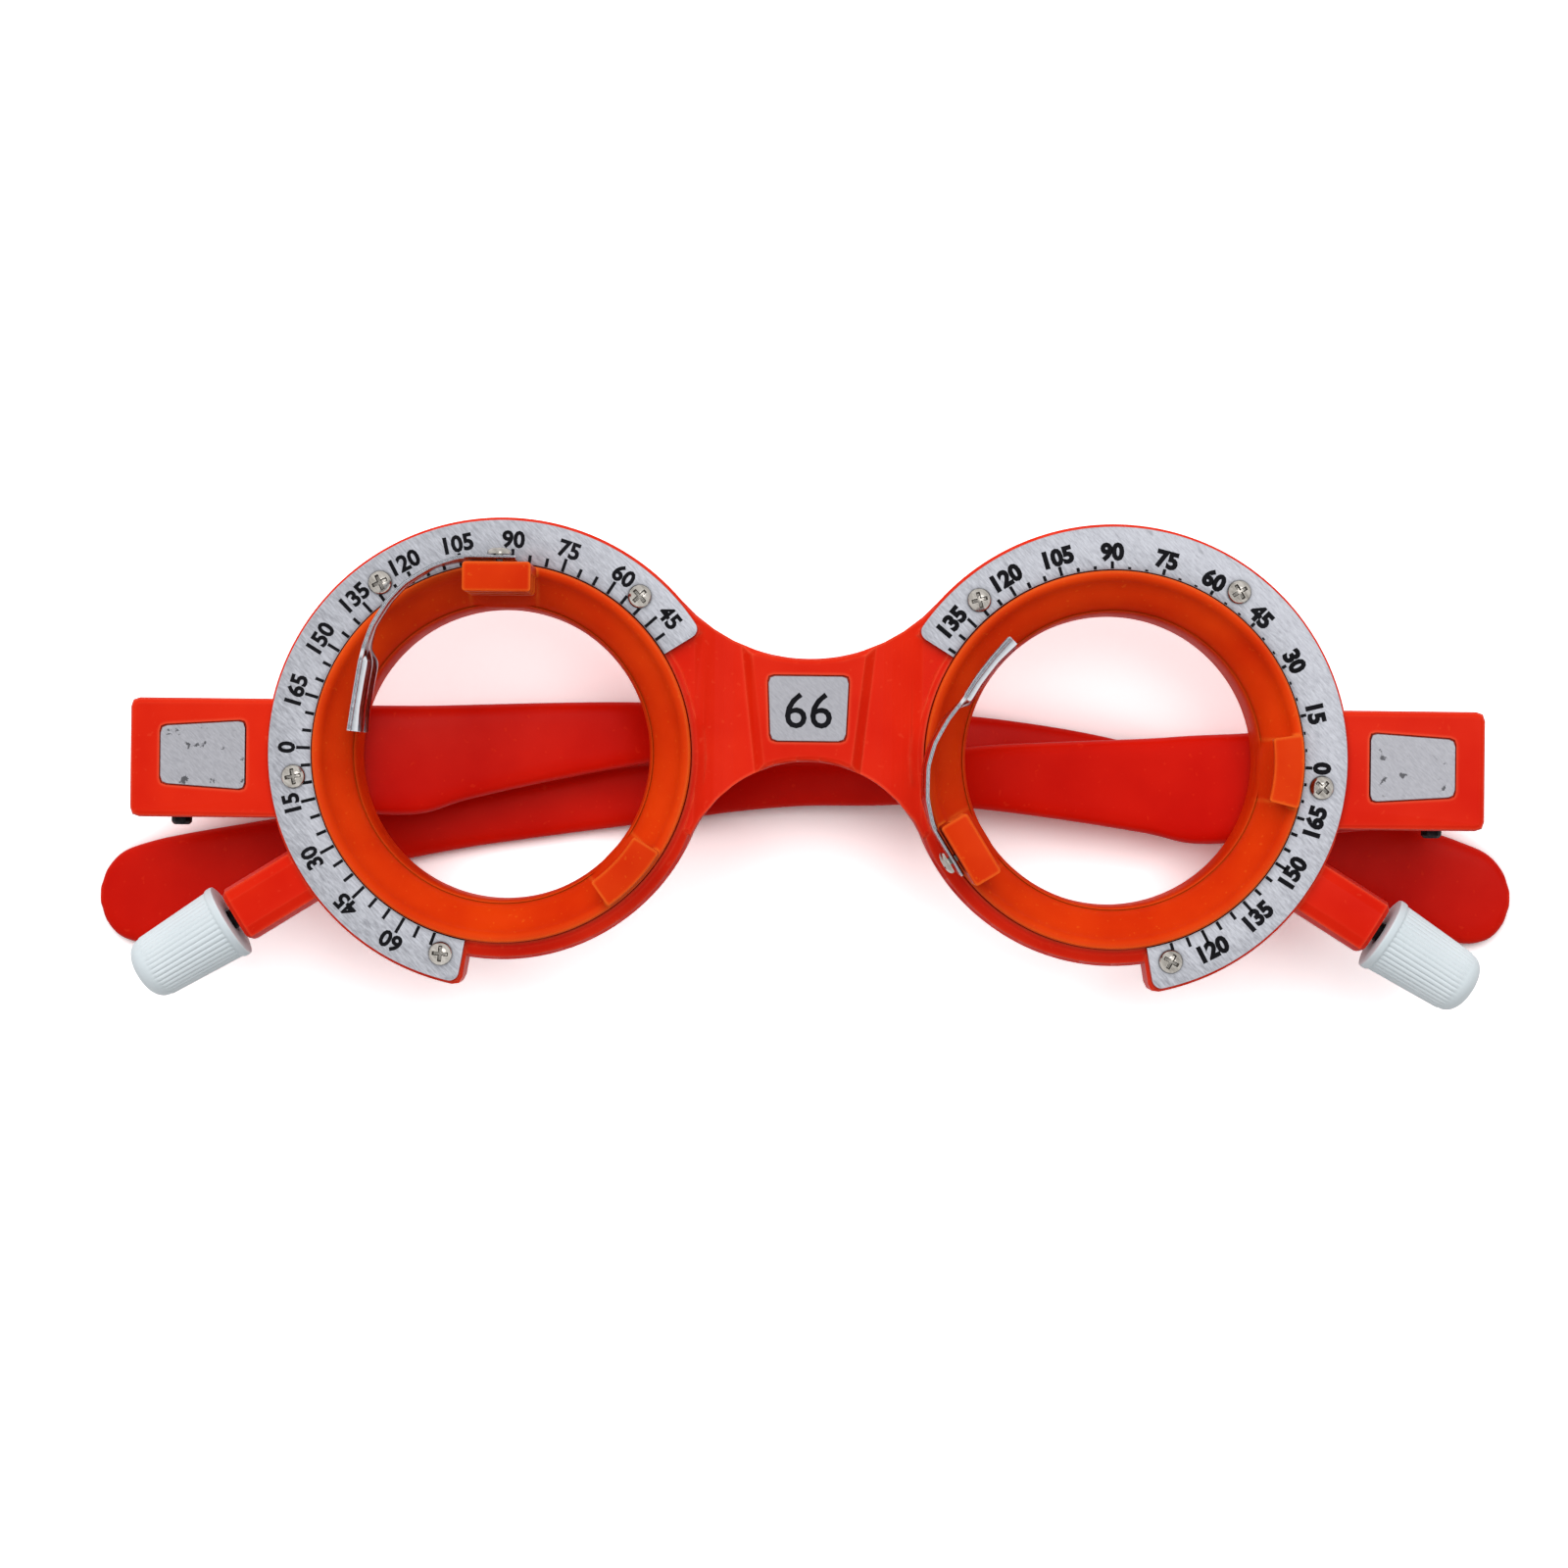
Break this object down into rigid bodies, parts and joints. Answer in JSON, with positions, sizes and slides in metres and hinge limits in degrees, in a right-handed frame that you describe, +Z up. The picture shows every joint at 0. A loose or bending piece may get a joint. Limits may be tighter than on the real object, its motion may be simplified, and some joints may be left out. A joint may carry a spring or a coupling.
{
  "type": "optical trial frame",
  "caption": "Eye-test spectacle frame with geared turning lens rings, angle dials, knobs, spring lens clips and folding temples.",
  "frame": {"origin": "on the table, under the middle of the folded frame's box", "axes": "+Z up out of the dials' faces, +X along the front towards the wearer's left side, +Y to the brow"},
  "size_m": [0.1594, 0.0522, 0.0312],
  "materials": {
    "red_plastic": "smooth moulded",
    "orange_plastic": "smooth moulded",
    "brushed_aluminium": "brushed, printed",
    "nickel": "nickel plated",
    "spring_steel": "polished spring steel",
    "white_plastic": "ribbed",
    "black_steel": "blackened",
    "brass": "cut"
  },
  "bodies": {
    "front": {"front_frame": "red_plastic", "bridge_plate": "brushed_aluminium", "left_dial": "brushed_aluminium", "left_end_plate": "brushed_aluminium", "left_hinge_pin": "black_steel", "left_dial_screw_1": "nickel", "left_dial_screw_2": "nickel", "left_dial_screw_3": "nickel", "left_dial_screw_4": "nickel", "right_dial": "brushed_aluminium", "right_end_plate": "brushed_aluminium", "right_hinge_pin": "black_steel", "right_dial_screw_1": "nickel", "right_dial_screw_2": "nickel", "right_dial_screw_3": "nickel", "right_dial_screw_4": "nickel"},
    "left_ring": {"left_lens_ring": "orange_plastic", "left_ring_retainer": "spring_steel", "left_clip_screw": "nickel"},
    "left_clip": {"left_spring_clip": "spring_steel"},
    "left_knob": {"left_knob": "white_plastic", "left_knob_shaft": "black_steel", "left_pinion": "brass"},
    "left_temple": {"left_temple": "red_plastic"},
    "right_ring": {"right_lens_ring": "orange_plastic", "right_ring_retainer": "spring_steel", "right_clip_screw": "nickel"},
    "right_clip": {"right_spring_clip": "spring_steel"},
    "right_knob": {"right_knob": "white_plastic", "right_knob_shaft": "black_steel", "right_pinion": "brass"},
    "right_temple": {"right_temple": "red_plastic"}
  },
  "joints": [
    {"name": "left_ring_turn", "type": "hinge", "parent": "front", "child": "left_ring", "pos_m": [-0.033, 0.00064, 0.022], "axis": [0, 0, 1], "continuous": true},
    {"name": "left_knob_turn", "type": "hinge", "parent": "front", "child": "left_knob", "pos_m": [-0.06268, -0.01791, 0.018], "axis": [-0.848, -0.5299, 0], "continuous": true},
    {"name": "left_clip_flex", "type": "hinge", "parent": "left_ring", "child": "left_clip", "pos_m": [-0.033, 0.02124, 0.02745], "axis": [0, 0, -1], "range_deg": [0, 7], "stiffness_Nm_per_rad": 0.25},
    {"name": "left_temple_hinge", "type": "hinge", "parent": "front", "child": "left_temple", "pos_m": [-0.0688, 0.00064, 0.0132], "axis": [0, 1, 0], "range_deg": [0, 90]},
    {"name": "right_ring_turn", "type": "hinge", "parent": "front", "child": "right_ring", "pos_m": [0.033, 0.00064, 0.022], "axis": [0, 0, 1], "continuous": true},
    {"name": "right_knob_turn", "type": "hinge", "parent": "front", "child": "right_knob", "pos_m": [0.06268, -0.01791, 0.018], "axis": [0.848, -0.5299, 0], "continuous": true},
    {"name": "right_clip_flex", "type": "hinge", "parent": "right_ring", "child": "right_clip", "pos_m": [0.01544, -0.01012, 0.02745], "axis": [0, 0, 1], "range_deg": [0, 7], "stiffness_Nm_per_rad": 0.25},
    {"name": "right_temple_hinge", "type": "hinge", "parent": "front", "child": "right_temple", "pos_m": [0.0688, 0.00064, 0.0132], "axis": [0, -1, 0], "range_deg": [0, 67.5]}
  ],
  "couplings": [
    {"joint": "left_knob_turn", "follows": "left_ring_turn", "ratio": -11},
    {"joint": "right_knob_turn", "follows": "right_ring_turn", "ratio": -11},
    {"joint": "right_temple_hinge", "follows": "left_temple_hinge", "ratio": 0.75}
  ]
}
